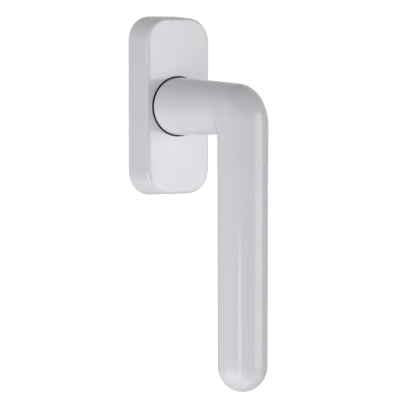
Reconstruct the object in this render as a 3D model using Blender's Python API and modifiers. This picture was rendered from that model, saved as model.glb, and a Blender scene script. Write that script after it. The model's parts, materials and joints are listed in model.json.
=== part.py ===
"""Tilt and turn window handle: a moulded L-shaped grip on a rectangular rose.

Frame: +Z up, the handle points down at rest. The sash face is the plane y = 0, the handle
stands out towards -Y and the square spindle points back into the sash along +Y. The origin is
on the spindle axis, at the sash face. "Forward" below is the distance in front of that face.
"""

import math

import bmesh
import bpy
from mathutils import Matrix, Vector

MM = 0.001
GAP = 0.3 * MM

# Rose: the cover that is seen, and the plate under it.
ROSE_WIDTH = 29.6 * MM
ROSE_HEIGHT = 70.0 * MM
ROSE_DEPTH = 12.9 * MM
ROSE_CORNER = 9.2 * MM
ROSE_RIM = 1.0 * MM
ROSE_DRAFT = 0.8 * MM
COVER_WALL = 1.7 * MM
COVER_HOLE_RADIUS = 11.8 * MM
COVER_HOLLOW_RIM = 0.5 * MM
PLATE_WIDTH = 23.4 * MM
PLATE_HEIGHT = 63.8 * MM
PLATE_DEPTH = 9.5 * MM
PLATE_CORNER = 7.0 * MM
PLATE_RIM = 0.6 * MM
REAR_POCKET_X = (6.6 * MM, 10.0 * MM)
REAR_POCKET_Z = (15.5 * MM, 27.0 * MM)
REAR_POCKET_DEPTH = 5.0 * MM

# Fastening to the sash.
SCREW_CENTRES = 43.0 * MM
SPIGOT_RADIUS = 5.0 * MM
SPIGOT_LENGTH = 10.0 * MM
SCREW_RADIUS = 2.5 * MM
SCREW_HEAD = (6.4 * MM, 9.2 * MM)
SCREW_HEAD_RADIUS = 4.6 * MM
COUNTERBORE_RADIUS = 4.9 * MM
SCREW_LENGTH_BEHIND_SASH = 17.0 * MM
SPINDLE_SIDE = 7.0 * MM
SPINDLE_EDGE = 0.4 * MM
SPINDLE_LENGTH_BEHIND_SASH = 17.0 * MM

# Grip: a neck that comes straight forward, a tight elbow and a straight grip with a round end.
NECK_START = 13.2 * MM
NECK_ROOT_RADIUS = 11.3 * MM
NECK_END_RADIUS = 9.4 * MM
NECK_EDGE = 0.3 * MM
GRIP_FORWARD = 60.0 * MM
GRIP_TOP_RADIUS = 9.6 * MM
GRIP_END_RADIUS = 9.5 * MM
GRIP_STRAIGHT_END = -97.0 * MM
GRIP_TIP_STRETCH = 1.05
ELBOW_OUTER_RADIUS = 14.6 * MM
ELBOW_INNER_FILLET = 3.0 * MM
GRIP_SIDES = 36

# Steel inside the grip.
CORE_RADIUS = 5.0 * MM
CORE_BEND_RADIUS = 8.0 * MM
CORE_BACK = 16.3 * MM
CORE_END = -100.0 * MM
HUB_RADIUS = 7.1 * MM
HUB_FRONT = 28.0 * MM
HUB_SHOULDER = 10.6 * MM
HUB_SHAFT_RADIUS = 6.2 * MM
HUB_BACK = 0.3 * MM
HUB_FLATS = 5.3 * MM
HUB_GROOVE_RADIUS = 5.4 * MM
HUB_GROOVE = (1.1 * MM, 2.5 * MM)
CORE_BORE_END = 16.0 * MM
SPINDLE_BORE_END = 14.0 * MM
CORE_PIN_FORWARD = 22.0 * MM
CORE_PIN_RADIUS = 1.5 * MM
SPINDLE_PIN_FORWARD = 12.2 * MM
SPINDLE_PIN_RADIUS = 0.9 * MM
PIN_HALF_LENGTH = 6.9 * MM

# Stack along the axis, from the sash forward: each pair is back and front.
RECESS_RADIUS = 9.5 * MM
RETAINING_RING = (1.4 * MM, 2.2 * MM)
RETAINING_RING_RADIUS = 7.9 * MM
RETAINING_RING_OPENING = 3.2 * MM
RING_EYE_RADIUS = 1.5 * MM
RING_EYE_HOLE = 0.7 * MM
RING_EYE_PLACE = (2.6 * MM, 7.3 * MM)
THRUST_WASHER = (2.5 * MM, 3.1 * MM)
THRUST_WASHER_RADIUS = 9.0 * MM
PLATE_FLOOR = (3.4 * MM, 4.6 * MM)
CAM = (4.9 * MM, 7.9 * MM)
KEEPER = (8.5 * MM, 9.5 * MM)
SLIDE_WASHER = (9.8 * MM, 10.3 * MM)
SLIDE_WASHER_RADIUS = 10.2 * MM
GUIDE_RING = (9.8 * MM, 12.8 * MM)
GUIDE_RING_RADIUS = 11.5 * MM
GUIDE_RING_BORE = 10.7 * MM
GRIP_ROOT_RADIUS = 10.4 * MM

# Detent: a square cam between two flat springs clicks every quarter turn.
CAM_SIDE = 14.4 * MM
CAM_CORNER = 3.0 * MM
CHAMBER_WIDTH = 20.0 * MM
CHAMBER_HEIGHT = 19.0 * MM
SPRING_THICKNESS = 0.7 * MM
SPRING_LENGTH = 25.2 * MM
KEEPER_WIDTH = 20.8 * MM
KEEPER_HEIGHT = 30.8 * MM
KEEPER_CORNER = 2.0 * MM
KEEPER_SCREW_PLACE = (4.4 * MM, 13.3 * MM)
KEEPER_SCREW_RADIUS = 1.25 * MM
KEEPER_SCREW_HEAD_RADIUS = 1.9 * MM
KEEPER_SCREW_HEAD_HEIGHT = 1.1 * MM
KEEPER_SCREW_TIP = 4.5 * MM

# Springs that hold the cover, one in each end of the plate.
COVER_SPRING_WIDTH = 9.0 * MM
COVER_SPRING_SPAN = (2.0 * MM, 7.5 * MM)
COVER_SPRING_THICKNESS = 0.5 * MM
COVER_SPRING_FOOT = 30.6 * MM
COVER_SPRING_RISE = 1.2 * MM
COVER_SPRING_SEAT_WIDTH = 11.0 * MM
COVER_SPRING_SEAT_EDGE = 30.0 * MM

WHITE_NYLON = ("white_nylon", (0.82, 0.82, 0.83), 0.28, 0.0)
BLACK_POLYMER = ("black_polymer", (0.02, 0.02, 0.02), 0.45, 0.0)
NATURAL_POLYMER = ("natural_polymer", (0.75, 0.73, 0.68), 0.5, 0.0)
CAST_ALLOY = ("cast_alloy", (0.55, 0.56, 0.58), 0.45, 1.0)
PLATED_STEEL = ("plated_steel", (0.6, 0.61, 0.62), 0.32, 1.0)
SPRING_STEEL = ("spring_steel", (0.35, 0.36, 0.38), 0.35, 1.0)

# Turned pieces are drawn about local Z, and this turn lays local Z along "forward".
LAY_FORWARD = Matrix.Rotation(math.radians(90.0), 4, "X")


def clear_scene():
    for obj in list(bpy.data.objects):
        bpy.data.objects.remove(obj, do_unlink=True)


def new_collection(name):
    collection = bpy.data.collections.new(name)
    bpy.context.scene.collection.children.link(collection)
    return collection


def material_for(finish):
    name, colour, roughness, metallic = finish
    material = bpy.data.materials.get(name)
    if material is None:
        material = bpy.data.materials.new(name)
        material.use_nodes = True
        shader = material.node_tree.nodes["Principled BSDF"]
        shader.inputs["Base Color"].default_value = (*colour, 1.0)
        shader.inputs["Roughness"].default_value = roughness
        shader.inputs["Metallic"].default_value = metallic
    return material


def mesh_object(name, bm, finish=None, parent=None, smooth=False):
    """Turns a bmesh into an object: a part when it has a finish, and otherwise a cutter."""
    mesh = bpy.data.meshes.new(name)
    bmesh.ops.recalc_face_normals(bm, faces=bm.faces)
    bm.to_mesh(mesh)
    bm.free()
    obj = bpy.data.objects.new(name, mesh)
    if smooth:
        mesh.shade_smooth()
        mesh.set_sharp_from_angle(angle=math.radians(35.0))
    place(obj, finish, parent)
    return obj


def place(obj, finish, parent):
    if finish is None:
        cutters.objects.link(obj)
        obj.hide_render = True
        obj.display_type = "WIRE"
        return
    parts.objects.link(obj)
    obj.data.materials.append(material_for(finish))
    obj.parent = parent


def cut(obj, cutter, operation="DIFFERENCE"):
    boolean = obj.modifiers.new(f"{operation.lower()} {cutter.name}", "BOOLEAN")
    boolean.operation = operation
    boolean.object = cutter


def box(name, x, forward, z, finish=None, parent=None):
    """A box between pairs of x, forward and z."""
    bm = bmesh.new()
    size = Vector((x[1] - x[0], forward[1] - forward[0], z[1] - z[0]))
    centre = Vector((sum(x) / 2, -sum(forward) / 2, sum(z) / 2))
    bmesh.ops.create_cube(bm, size=1.0, matrix=Matrix.Translation(centre) @ Matrix.Diagonal(size).to_4x4())
    return mesh_object(name, bm, finish, parent)


def centred(size):
    return (-size / 2, size / 2)


def round_bar(name, radius, centre, axis, length, finish=None, parent=None, sides=32):
    """A cylinder about a centre, along X, Y or Z."""
    bm = bmesh.new()
    turn = Vector((0, 0, 1)).rotation_difference(Vector(axis)).to_matrix().to_4x4()
    bmesh.ops.create_cone(
        bm, cap_ends=True, segments=sides, radius1=radius, radius2=radius, depth=length,
        matrix=Matrix.Translation(Vector(centre)) @ turn,
    )
    return mesh_object(name, bm, finish, parent, smooth=True)


def forward_bar(name, radius, forward, x=0.0, z=0.0, sides=32):
    """A round cutter along the handle's axis, between two forward distances."""
    centre = (x, -sum(forward) / 2, z)
    return round_bar(name, radius, centre, (0, 1, 0), forward[1] - forward[0], sides=sides)


def rounded_block(name, width, height, forward, corner, draft=0.0, rim=0.0, finish=None, parent=None):
    """A block whose four long corners are round, narrower in front by the draft on each side."""
    bm = bmesh.new()
    back, front = forward
    middle = -(back + front) / 2
    size = Matrix.Diagonal((width, front - back, height, 1.0))
    bmesh.ops.create_cube(bm, size=1.0, matrix=Matrix.Translation((0, middle, 0)) @ size)
    for vert in bm.verts:
        if vert.co.y < middle:
            vert.co.x -= math.copysign(draft, vert.co.x)
            vert.co.z -= math.copysign(draft, vert.co.z)
    long_edges = [edge for edge in bm.edges if abs(edge.verts[0].co.y - edge.verts[1].co.y) > GAP]
    bmesh.ops.bevel(bm, geom=long_edges, offset=corner, segments=8, profile=0.5, affect="EDGES")
    if rim:
        front_edges = [edge for edge in bm.edges if all(v.co.y < -front + GAP / 3 for v in edge.verts)]
        bmesh.ops.bevel(bm, geom=front_edges, offset=rim, segments=4, profile=0.5, affect="EDGES")
    return mesh_object(name, bm, finish, parent, smooth=True)


def turned(name, profile, finish, parent, closed=True, x=0.0, z=0.0, steps=32):
    """A piece turned about a forward axis, from (radius, forward) points down its outer side."""
    bm = bmesh.new()
    verts = [bm.verts.new((radius, 0, forward)) for radius, forward in profile]
    pairs = list(zip(verts, verts[1:]))
    if closed:
        pairs.append((verts[-1], verts[0]))
    for pair in pairs:
        bm.edges.new(pair)
    mesh = bpy.data.meshes.new(name)
    bm.to_mesh(mesh)
    bm.free()
    obj = bpy.data.objects.new(name, mesh)
    place(obj, finish, parent)
    obj.matrix_local = Matrix.Translation((x, 0, z)) @ LAY_FORWARD
    screw = obj.modifiers.new("turn", "SCREW")
    screw.steps = steps
    screw.render_steps = steps
    screw.use_merge_vertices = True
    screw.merge_threshold = 0.00001
    screw.use_smooth_shade = False
    return obj


def ring(name, bore, radius, forward, finish, parent, steps=32):
    back, front = forward
    profile = [(bore, front), (radius, front), (radius, back), (bore, back)]
    return turned(name, profile, finish, parent, steps=steps)


def rod_along(name, points, radius):
    """A mesh rod with closed ends along a line of points."""
    curve = bpy.data.curves.new(name + " line", "CURVE")
    curve.dimensions = "3D"
    curve.bevel_depth = radius
    curve.bevel_resolution = 4
    curve.use_fill_caps = True
    spline = curve.splines.new("POLY")
    spline.points.add(len(points) - 1)
    for point, co in zip(spline.points, points):
        point.co = (*co, 1.0)
    line = bpy.data.objects.new(name + " line", curve)
    bpy.context.scene.collection.objects.link(line)
    bpy.context.view_layer.update()
    graph = bpy.context.evaluated_depsgraph_get()
    mesh = bpy.data.meshes.new_from_object(line.evaluated_get(graph))
    bm = bmesh.new()
    bm.from_mesh(mesh)
    bmesh.ops.remove_doubles(bm, verts=bm.verts, dist=MM / 100)
    bpy.data.objects.remove(line)
    bpy.data.meshes.remove(mesh)
    return bm


def neck_radius(forward):
    """The neck tapers from its root to the grip's axis."""
    share = (forward - NECK_START) / (GRIP_FORWARD - NECK_START)
    return NECK_ROOT_RADIUS + (NECK_END_RADIUS - NECK_ROOT_RADIUS) * share


def elbow_pivot():
    """Centre of the inner fillet, as (forward, up): the elbow's sections fan out from it."""
    forward = GRIP_FORWARD - GRIP_TOP_RADIUS - ELBOW_INNER_FILLET
    return Vector((forward, -neck_radius(forward) - ELBOW_INNER_FILLET))


def elbow_reach(angle):
    """Distance from the pivot to the outer side: the neck's top, an arc, then the grip's front."""
    pivot = elbow_pivot()
    direction = Vector((math.sin(angle), math.cos(angle)))
    slope = (NECK_ROOT_RADIUS - NECK_END_RADIUS) / (GRIP_FORWARD - NECK_START)
    arc_forward = GRIP_FORWARD + GRIP_TOP_RADIUS - ELBOW_OUTER_RADIUS
    arc_centre = Vector((arc_forward, neck_radius(arc_forward) - ELBOW_OUTER_RADIUS))
    along = (arc_centre - pivot).dot(direction)
    away = (arc_centre - pivot).length_squared
    on_arc = along + math.sqrt(along**2 - away + ELBOW_OUTER_RADIUS**2)
    hit = pivot + on_arc * direction
    if hit.y < arc_centre.y:
        return (GRIP_FORWARD + GRIP_TOP_RADIUS - pivot.x) / math.sin(angle)
    if hit.x < arc_centre.x:
        return (neck_radius(pivot.x) - pivot.y) / (math.cos(angle) + slope * math.sin(angle))
    return on_arc


def grip_sections():
    """Sections of the grip's skin: centre (forward, up), direction, half height and half width."""
    up = Vector((0.0, 1.0))
    back = Vector((1.0, 0.0))
    pivot = elbow_pivot()
    sections = [
        (Vector((HUB_SHOULDER, 0)), up, GRIP_ROOT_RADIUS, GRIP_ROOT_RADIUS),
        (Vector((NECK_START, 0)), up, GRIP_ROOT_RADIUS, GRIP_ROOT_RADIUS),
        (Vector((NECK_START, 0)), up, NECK_ROOT_RADIUS - NECK_EDGE, NECK_ROOT_RADIUS - NECK_EDGE),
    ]
    neck_steps = 3
    for step in range(neck_steps + 1):
        start = NECK_START + NECK_EDGE
        forward = start + (pivot.x - start) * step / neck_steps
        sections.append((Vector((forward, 0)), up, neck_radius(forward), neck_radius(forward)))
    elbow_steps = 10
    for step in range(1, elbow_steps + 1):
        share = step / elbow_steps
        angle = math.radians(90.0) * share
        direction = Vector((math.sin(angle), math.cos(angle)))
        reach = elbow_reach(angle)
        centre = pivot + direction * (reach + ELBOW_INNER_FILLET) / 2
        half_width = neck_radius(pivot.x) * (1 - share) + GRIP_TOP_RADIUS * share
        sections.append((centre, direction, (reach - ELBOW_INNER_FILLET) / 2, half_width))
    grip_steps = 4
    for step in range(1, grip_steps + 1):
        share = step / grip_steps
        height = pivot.y + (GRIP_STRAIGHT_END - pivot.y) * share
        radius = GRIP_TOP_RADIUS + (GRIP_END_RADIUS - GRIP_TOP_RADIUS) * share
        sections.append((Vector((GRIP_FORWARD, height)), back, radius, radius))
    tip_steps = 6
    for step in range(1, tip_steps):
        angle = math.radians(90.0) * step / tip_steps
        height = GRIP_STRAIGHT_END - GRIP_END_RADIUS * GRIP_TIP_STRETCH * math.sin(angle)
        radius = GRIP_END_RADIUS * math.cos(angle)
        sections.append((Vector((GRIP_FORWARD, height)), back, radius, radius))
    return sections


def grip_skin():
    """A loft through the sections, closed by a flat root and a point at the tip."""
    bm = bmesh.new()
    rings = []
    for centre, direction, half_height, half_width in grip_sections():
        verts = []
        for side in range(GRIP_SIDES):
            turn = 2 * math.pi * side / GRIP_SIDES
            point = centre + direction * half_height * math.cos(turn)
            verts.append(bm.verts.new((half_width * math.sin(turn), -point.x, point.y)))
        rings.append(verts)
    for lower, upper in zip(rings, rings[1:]):
        for side in range(GRIP_SIDES):
            after = (side + 1) % GRIP_SIDES
            bm.faces.new((lower[side], lower[after], upper[after], upper[side]))
    bm.faces.new(rings[0])
    tip_height = GRIP_STRAIGHT_END - GRIP_END_RADIUS * GRIP_TIP_STRETCH
    tip = bm.verts.new((0, -GRIP_FORWARD, tip_height))
    for side in range(GRIP_SIDES):
        bm.faces.new((rings[-1][side], rings[-1][(side + 1) % GRIP_SIDES], tip))
    return bm


def core_line(back, end):
    """The core's line: forward along the neck, round the bend and down the grip."""
    points = [(0, -back, 0)]
    bend_steps = 8
    for step in range(bend_steps + 1):
        angle = math.radians(90.0) * step / bend_steps
        forward = GRIP_FORWARD - CORE_BEND_RADIUS * (1 - math.sin(angle))
        points.append((0, -forward, -CORE_BEND_RADIUS * (1 - math.cos(angle))))
    points.append((0, -GRIP_FORWARD, end))
    return points


def make_grip_sleeve(handle):
    sleeve = mesh_object("grip_sleeve", grip_skin(), WHITE_NYLON, handle, smooth=True)
    hub_bore = (HUB_SHOULDER - MM, HUB_FRONT + GAP)
    cut(sleeve, forward_bar("hub bore", HUB_RADIUS + GAP, hub_bore))
    channel = rod_along("core channel", core_line(HUB_FRONT - MM, CORE_END - GAP), CORE_RADIUS + GAP)
    cut(sleeve, mesh_object("core channel", channel))


def cross_bar(name, radius, forward, axis):
    return round_bar(name, radius, (0, -forward, 0), axis, 3 * HUB_RADIUS, sides=16)


def make_grip_core(handle):
    rod = rod_along("grip_core", core_line(CORE_BACK, CORE_END), CORE_RADIUS)
    core = mesh_object("grip_core", rod, PLATED_STEEL, handle, smooth=True)
    cut(core, cross_bar("core pin hole in core", CORE_PIN_RADIUS + GAP, CORE_PIN_FORWARD, (1, 0, 0)))


def make_neck_hub(handle):
    groove_back, groove_front = HUB_GROOVE
    profile = [
        (0, CORE_BORE_END),
        (CORE_RADIUS + GAP, CORE_BORE_END),
        (CORE_RADIUS + GAP, HUB_FRONT),
        (HUB_RADIUS, HUB_FRONT),
        (HUB_RADIUS, HUB_SHOULDER),
        (HUB_SHAFT_RADIUS, HUB_SHOULDER),
        (HUB_SHAFT_RADIUS, groove_front),
        (HUB_GROOVE_RADIUS, groove_front),
        (HUB_GROOVE_RADIUS, groove_back),
        (HUB_SHAFT_RADIUS, groove_back),
        (HUB_SHAFT_RADIUS, HUB_BACK),
        (0, HUB_BACK),
    ]
    hub = turned("neck_hub", profile, PLATED_STEEL, handle, closed=False)
    side = centred(SPINDLE_SIDE + 2 * GAP)
    cut(hub, box("spindle bore", side, (HUB_BACK - MM, SPINDLE_BORE_END), side))
    flat_span = (HUB_BACK - MM, CAM[1] + GAP)
    for name, x in (("left", (-HUB_RADIUS, -HUB_FLATS)), ("right", (HUB_FLATS, HUB_RADIUS))):
        cut(hub, box(f"hub flat {name}", x, flat_span, centred(3 * HUB_RADIUS)))
    cut(hub, cross_bar("core pin hole in hub", CORE_PIN_RADIUS + GAP, CORE_PIN_FORWARD, (1, 0, 0)))
    cut(hub, cross_bar("spindle pin hole in hub", SPINDLE_PIN_RADIUS + GAP, SPINDLE_PIN_FORWARD, (0, 0, 1)))


def make_pins(handle):
    for name, radius, forward, axis in (
        ("core_pin", CORE_PIN_RADIUS, CORE_PIN_FORWARD, (1, 0, 0)),
        ("spindle_pin", SPINDLE_PIN_RADIUS, SPINDLE_PIN_FORWARD, (0, 0, 1)),
    ):
        centre = (0, -forward, 0)
        round_bar(name, radius, centre, axis, 2 * PIN_HALF_LENGTH, SPRING_STEEL, handle, sides=16)


def make_spindle(handle):
    side = centred(SPINDLE_SIDE)
    span = (-SPINDLE_LENGTH_BEHIND_SASH, SPINDLE_BORE_END - GAP)
    spindle = box("square_spindle", side, span, side, PLATED_STEEL, handle)
    edge = spindle.modifiers.new("broken edges", "BEVEL")
    edge.width = SPINDLE_EDGE
    edge.segments = 1
    hole = SPINDLE_PIN_RADIUS + GAP
    cut(spindle, cross_bar("spindle pin hole in spindle", hole, SPINDLE_PIN_FORWARD, (0, 0, 1)))


def make_cam(handle):
    cam = rounded_block("detent_cam", CAM_SIDE, CAM_SIDE, CAM, CAM_CORNER, finish=PLATED_STEEL, parent=handle)
    bm = bmesh.new()
    turn = Matrix.Translation((0, -sum(CAM) / 2, 0)) @ LAY_FORWARD
    bore = HUB_SHAFT_RADIUS + GAP
    bmesh.ops.create_cone(
        bm, cap_ends=True, segments=48, radius1=bore, radius2=bore, depth=CAM[1] - CAM[0] + MM, matrix=turn,
    )
    for vert in bm.verts:
        vert.co.x = max(-HUB_FLATS - GAP, min(HUB_FLATS + GAP, vert.co.x))
    cut(cam, mesh_object("cam bore with two flats", bm))


def make_washers(base, handle):
    bore = HUB_SHAFT_RADIUS + GAP
    ring("slide_washer", bore, SLIDE_WASHER_RADIUS, SLIDE_WASHER, NATURAL_POLYMER, base)
    ring("thrust_washer", bore, THRUST_WASHER_RADIUS, THRUST_WASHER, PLATED_STEEL, handle)
    ring("guide_ring", GUIDE_RING_BORE, GUIDE_RING_RADIUS, GUIDE_RING, BLACK_POLYMER, base, steps=40)


def make_retaining_ring(handle):
    """An open ring in the hub's groove, with an eye at each end for the pliers."""
    bore = HUB_GROOVE_RADIUS + GAP
    clip = ring("retaining_ring", bore, RETAINING_RING_RADIUS, RETAINING_RING, SPRING_STEEL, handle)
    span = (RETAINING_RING[0] - MM, RETAINING_RING[1] + MM)
    cut(clip, box("ring opening", centred(RETAINING_RING_OPENING), span, (0, RECESS_RADIUS)))
    across, up = RING_EYE_PLACE
    for name, x in (("left", -across), ("right", across)):
        cut(clip, forward_bar(f"eye {name}", RING_EYE_RADIUS, RETAINING_RING, x, up, 20), "UNION")
        cut(clip, forward_bar(f"eye hole {name}", RING_EYE_HOLE, span, x, up, 12))


def screw_profile(radius, head_radius, head, tip):
    """A pan head on a plain shank, from the axis at the top to the axis at the tip."""
    head_bottom, head_top = head
    dome = 0.35 * (head_top - head_bottom)
    return [
        (0, head_top),
        (0.6 * head_radius, head_top - 0.25 * dome),
        (0.9 * head_radius, head_top - dome),
        (head_radius, head_top - 2 * dome),
        (head_radius, head_bottom),
        (radius, head_bottom),
        (radius, tip + radius),
        (0.4 * radius, tip),
        (0, tip),
    ]


def cross_recess(name, arm, slot, forward, x, z):
    """A cutter for a cross in a screw head."""
    cross = box(name, (x - arm, x + arm), forward, (z - slot, z + slot))
    cut(cross, box(f"{name} upright", (x - slot, x + slot), forward, (z - arm, z + arm)), "UNION")
    return cross


def make_screw(name, radius, head_radius, head, tip, x, z, base, steps):
    profile = screw_profile(radius, head_radius, head, tip)
    screw = turned(name, profile, PLATED_STEEL, base, closed=False, x=x, z=z, steps=steps)
    depth = 0.55 * (head[1] - head[0])
    recess = (head[1] - depth, head[1] + MM)
    cut(screw, cross_recess(f"{name} recess", 0.55 * head_radius, 0.14 * head_radius, recess, x, z))


def keeper_screw_places():
    across, up = KEEPER_SCREW_PLACE
    return {
        "upper_left": (-across, up),
        "upper_right": (across, up),
        "lower_left": (-across, -up),
        "lower_right": (across, -up),
    }


def make_screws(base):
    for name, z in (("upper", SCREW_CENTRES / 2), ("lower", -SCREW_CENTRES / 2)):
        make_screw(
            f"fixing_screw_{name}", SCREW_RADIUS, SCREW_HEAD_RADIUS, SCREW_HEAD, -SCREW_LENGTH_BEHIND_SASH,
            0, z, base, 24,
        )
    head_bottom = KEEPER[1] + GAP
    for name, (x, z) in keeper_screw_places().items():
        make_screw(
            f"keeper_screw_{name}", KEEPER_SCREW_RADIUS, KEEPER_SCREW_HEAD_RADIUS,
            (head_bottom, head_bottom + KEEPER_SCREW_HEAD_HEIGHT), KEEPER_SCREW_TIP, x, z, base, 16,
        )


def make_keeper_plate(base):
    plate = rounded_block(
        "keeper_plate", KEEPER_WIDTH, KEEPER_HEIGHT, KEEPER, KEEPER_CORNER, finish=PLATED_STEEL, parent=base,
    )
    span = (KEEPER[0] - MM, KEEPER[1] + MM)
    cut(plate, forward_bar("keeper bore", HUB_SHAFT_RADIUS + GAP, span))
    for name, (x, z) in keeper_screw_places().items():
        cut(plate, forward_bar(f"keeper hole {name}", KEEPER_SCREW_RADIUS + GAP, span, x, z, 16))


def make_detent_springs(base):
    inner = CAM_SIDE / 2 + GAP
    outer = inner + SPRING_THICKNESS
    for name, x in (("left", (-outer, -inner)), ("right", (inner, outer))):
        box(f"detent_spring_{name}", x, CAM, centred(SPRING_LENGTH), SPRING_STEEL, base)


def make_cover_springs(base):
    """Each is a strip bowed outwards between its two feet."""
    back, front = COVER_SPRING_SPAN
    for name, side in (("upper", 1), ("lower", -1)):
        bm = bmesh.new()
        size = Matrix.Diagonal((COVER_SPRING_WIDTH / 2, (front - back) / 2, 1.0, 1.0))
        middle = Matrix.Translation((0, -(back + front) / 2, 0))
        bmesh.ops.create_grid(bm, x_segments=1, y_segments=8, size=1.0, matrix=middle @ size)
        for vert in bm.verts:
            share = (-vert.co.y - back) / (front - back)
            vert.co.z = side * (COVER_SPRING_FOOT + COVER_SPRING_RISE * math.sin(math.pi * share))
        spring = mesh_object(f"cover_spring_{name}", bm, SPRING_STEEL, base, smooth=True)
        sheet = spring.modifiers.new("sheet", "SOLIDIFY")
        sheet.thickness = COVER_SPRING_THICKNESS
        sheet.offset = 0.0


def make_base_plate(base):
    plate = rounded_block(
        "base_plate", PLATE_WIDTH, PLATE_HEIGHT, (0, PLATE_DEPTH), PLATE_CORNER, rim=PLATE_RIM,
        finish=CAST_ALLOY, parent=base,
    )
    for name, z in (("upper", SCREW_CENTRES / 2), ("lower", -SCREW_CENTRES / 2)):
        cut(plate, forward_bar(f"spigot {name}", SPIGOT_RADIUS, (-SPIGOT_LENGTH, 2 * MM), 0, z), "UNION")
        through = (-SPIGOT_LENGTH - MM, PLATE_DEPTH + MM)
        cut(plate, forward_bar(f"screw hole {name}", SCREW_RADIUS + GAP, through, 0, z, 24))
        counterbore = (SCREW_HEAD[0] - GAP, PLATE_DEPTH + MM)
        cut(plate, forward_bar(f"counterbore {name}", COUNTERBORE_RADIUS, counterbore, 0, z))
    cut(plate, forward_bar("rear recess", RECESS_RADIUS, (-MM, PLATE_FLOOR[0]), sides=40))
    cut(plate, forward_bar("floor bore", HUB_SHAFT_RADIUS + GAP, (PLATE_FLOOR[0] - MM, PLATE_FLOOR[1] + MM)))
    inside = (PLATE_FLOOR[1], PLATE_DEPTH + MM)
    cut(plate, box("cam chamber", centred(CHAMBER_WIDTH), inside, centred(CHAMBER_HEIGHT)))
    slot = (CAM_SIDE / 2, CAM_SIDE / 2 + SPRING_THICKNESS + 2 * GAP)
    for name, x in (("left", (-slot[1], -slot[0])), ("right", slot)):
        cut(plate, box(f"spring slot {name}", x, inside, centred(SPRING_LENGTH + 2 * GAP)))
    recess = (KEEPER[0] - GAP, PLATE_DEPTH + MM)
    width, height = KEEPER_WIDTH + 2 * GAP, KEEPER_HEIGHT + 2 * GAP
    cut(plate, rounded_block("keeper recess", width, height, recess, KEEPER_CORNER + GAP))
    for name, (x, z) in keeper_screw_places().items():
        pilot = (KEEPER_SCREW_TIP - 2 * GAP, PLATE_DEPTH)
        cut(plate, forward_bar(f"pilot hole {name}", KEEPER_SCREW_RADIUS + GAP, pilot, x, z, 16))
    seat = (COVER_SPRING_SPAN[0] - COVER_SPRING_THICKNESS, COVER_SPRING_SPAN[1] + COVER_SPRING_THICKNESS)
    for name, side in (("upper", 1), ("lower", -1)):
        reach = sorted((side * COVER_SPRING_SEAT_EDGE, side * PLATE_HEIGHT))
        cut(plate, box(f"cover spring seat {name}", centred(COVER_SPRING_SEAT_WIDTH), seat, reach))
    for name, across, side in (("1", 1, 1), ("2", 1, -1), ("3", -1, 1), ("4", -1, -1)):
        x = sorted(across * edge for edge in REAR_POCKET_X)
        z = sorted(side * edge for edge in REAR_POCKET_Z)
        cut(plate, box(f"rear pocket {name}", x, (-MM, REAR_POCKET_DEPTH), z))


def make_rose_cover(cover):
    shell = rounded_block(
        "rose_cover", ROSE_WIDTH, ROSE_HEIGHT, (0, ROSE_DEPTH), ROSE_CORNER, ROSE_DRAFT, ROSE_RIM,
        finish=WHITE_NYLON, parent=cover,
    )
    slope = ROSE_DRAFT / ROSE_DEPTH
    front = ROSE_DEPTH - COVER_WALL
    inside = (-MM, front)
    draft = slope * (front + MM)
    extra = 2 * slope * MM - 2 * COVER_WALL
    hollow = rounded_block(
        "cover hollow", ROSE_WIDTH + extra, ROSE_HEIGHT + extra, inside, ROSE_CORNER - COVER_WALL, draft,
        COVER_HOLLOW_RIM,
    )
    cut(shell, hollow)
    cut(shell, forward_bar("neck opening", COVER_HOLE_RADIUS, (front - MM, ROSE_DEPTH + MM), sides=48))


def axis_empty(name):
    """An empty at the origin, which lies on both joints' axes."""
    empty = bpy.data.objects.new(name, None)
    parts.objects.link(empty)
    return empty


clear_scene()
parts = new_collection("tilt_turn_handle")
cutters = new_collection("cutters")
rose_base = axis_empty("rose_base_body")
handle_body = axis_empty("handle_body")
cover_body = axis_empty("cover_body")
make_base_plate(rose_base)
make_keeper_plate(rose_base)
make_detent_springs(rose_base)
make_cover_springs(rose_base)
make_screws(rose_base)
make_washers(rose_base, handle_body)
make_grip_sleeve(handle_body)
make_grip_core(handle_body)
make_neck_hub(handle_body)
make_pins(handle_body)
make_spindle(handle_body)
make_cam(handle_body)
make_retaining_ring(handle_body)
make_rose_cover(cover_body)
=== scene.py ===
"""Looks of the tilt and turn window handle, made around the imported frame.

Everything is in metres in the frame's own axes: +Z up, the sash face is y = 0 and the handle
stands out towards -Y. "Forward" below is the distance in front of the sash face, so it is -y.
"""

import json
import math

import bmesh
import bpy
from mathutils import Matrix, Vector


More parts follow.
